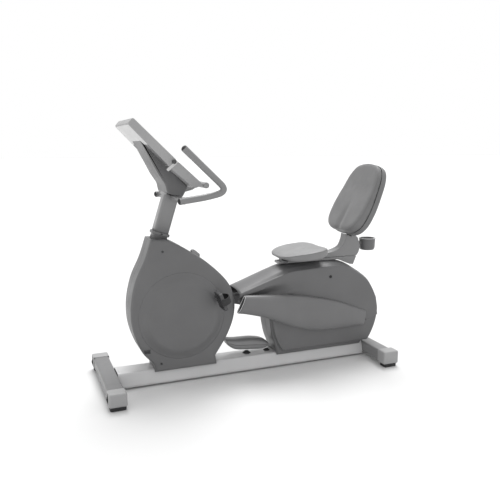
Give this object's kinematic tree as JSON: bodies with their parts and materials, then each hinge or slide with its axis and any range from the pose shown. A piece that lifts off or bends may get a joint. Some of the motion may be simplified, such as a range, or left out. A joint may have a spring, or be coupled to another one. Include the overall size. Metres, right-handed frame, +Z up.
{
  "type": "recumbent exercise bike",
  "caption": "Recumbent exercise bike with a belt drive behind round crank covers, a tilted console, side handles and a seat with a backrest on a slide.",
  "frame": {"origin": "on the floor, under the middle of the bike's bounding box", "axes": "+Z up, -X towards the console end, +X towards the seat end, -Y towards the rider's left"},
  "size_m": [1.621, 0.608, 1.3448],
  "materials": {
    "frame_paint": "satin",
    "panel_plastic": "satin",
    "dark_plastic": "matte",
    "steel": "satin",
    "cast_iron": "matte",
    "aluminium": "satin",
    "rubber": "matte",
    "upholstery": "matte",
    "display": "gloss"
  },
  "bodies": {
    "root": {"book_ledge": "panel_plastic", "bottom_bracket": "steel", "brake_magnet": "steel", "console_back": "panel_plastic", "console_body": "panel_plastic", "console_keypad": "panel_plastic", "display_lens": "display", "drive_belt": "rubber", "front_crossbar": "frame_paint", "front_end_cap_left": "panel_plastic", "front_end_cap_right": "panel_plastic", "front_foot_left": "rubber", "front_foot_right": "rubber", "front_shell_left": "panel_plastic", "front_shell_right": "panel_plastic", "front_upright": "frame_paint", "grip_cap_left": "dark_plastic", "grip_cap_right": "dark_plastic", "handle_arm_left": "frame_paint", "handle_arm_right": "frame_paint", "handlebar_cross": "frame_paint", "main_beam": "frame_paint", "mast": "frame_paint", "mast_collar": "panel_plastic", "power_inlet": "dark_plastic", "rear_crossbar": "frame_paint", "rear_end_cap_left": "panel_plastic", "rear_end_cap_right": "panel_plastic", "rear_foot_left": "rubber", "rear_foot_right": "rubber", "rear_shell_left": "panel_plastic", "rear_shell_right": "panel_plastic", "seat_post": "frame_paint", "step_pod": "panel_plastic", "top_shroud": "panel_plastic", "wing_left": "panel_plastic", "wing_right": "panel_plastic"},
    "crank_set": {"crank_axle": "steel", "drive_pulley": "dark_plastic", "crank_left": "aluminium", "crank_right": "aluminium", "crank_disc_left": "panel_plastic", "crank_disc_right": "panel_plastic"},
    "left_pedal": {"pedal_left": "dark_plastic", "pedal_strap_left": "rubber"},
    "right_pedal": {"pedal_right": "dark_plastic", "pedal_strap_right": "rubber"},
    "flywheel_set": {"flywheel": "cast_iron", "flywheel_axle": "steel"},
    "seat_carriage": {"seat_frame": "frame_paint", "seat_pad": "upholstery", "backrest_shell": "panel_plastic", "backrest_pad": "upholstery", "bottle_holder": "panel_plastic"},
    "adjust_lever": {"seat_lever": "dark_plastic"},
    "key_1": {"console_key_1": "dark_plastic"},
    "key_2": {"console_key_2": "dark_plastic"},
    "key_3": {"console_key_3": "dark_plastic"},
    "left_wheel": {"transport_wheel_left": "rubber"},
    "right_wheel": {"transport_wheel_right": "rubber"}
  },
  "joints": [
    {"name": "crank_spin", "type": "hinge", "parent": "root", "child": "crank_set", "pos_m": [-0.3857, 0, 0.36], "axis": [0, 1, 0], "continuous": true},
    {"name": "flywheel_spin", "type": "hinge", "parent": "root", "child": "flywheel_set", "pos_m": [-0.3267, 0, 0.56], "axis": [0, 1, 0], "continuous": true},
    {"name": "left_pedal_spin", "type": "hinge", "parent": "crank_set", "child": "left_pedal", "pos_m": [-0.20299, -0.158, 0.44135], "axis": [0, 1, 0], "continuous": true},
    {"name": "right_pedal_spin", "type": "hinge", "parent": "crank_set", "child": "right_pedal", "pos_m": [-0.56841, 0.158, 0.27865], "axis": [0, 1, 0], "continuous": true},
    {"name": "seat_slide", "type": "slide", "parent": "root", "child": "seat_carriage", "axis": [1, 0, 0], "range_m": [-0.12, 0.08]},
    {"name": "lever_press", "type": "hinge", "parent": "seat_carriage", "child": "adjust_lever", "pos_m": [0.1903, -0.04, 0.602], "axis": [1, 0, 0], "range_deg": [0, 12], "stiffness_Nm_per_rad": 0.3, "springref_deg": -8.59},
    {"name": "key_1_press", "type": "slide", "parent": "root", "child": "key_1", "axis": [-0.6712, 0, -0.7413], "range_m": [0, 0.0015], "stiffness_N_per_m": 400, "springref_m": -0.001},
    {"name": "key_2_press", "type": "slide", "parent": "root", "child": "key_2", "axis": [-0.6712, 0, -0.7413], "range_m": [0, 0.0015], "stiffness_N_per_m": 400, "springref_m": -0.001},
    {"name": "key_3_press", "type": "slide", "parent": "root", "child": "key_3", "axis": [-0.6712, 0, -0.7413], "range_m": [0, 0.0015], "stiffness_N_per_m": 400, "springref_m": -0.001},
    {"name": "left_wheel_roll", "type": "hinge", "parent": "root", "child": "left_wheel", "pos_m": [-0.7867, -0.266, 0.05], "axis": [0, 1, 0], "continuous": true},
    {"name": "right_wheel_roll", "type": "hinge", "parent": "root", "child": "right_wheel", "pos_m": [-0.7867, 0.266, 0.05], "axis": [0, 1, 0], "continuous": true}
  ],
  "couplings": [
    {"joint": "flywheel_spin", "follows": "crank_spin", "ratio": 5}
  ]
}
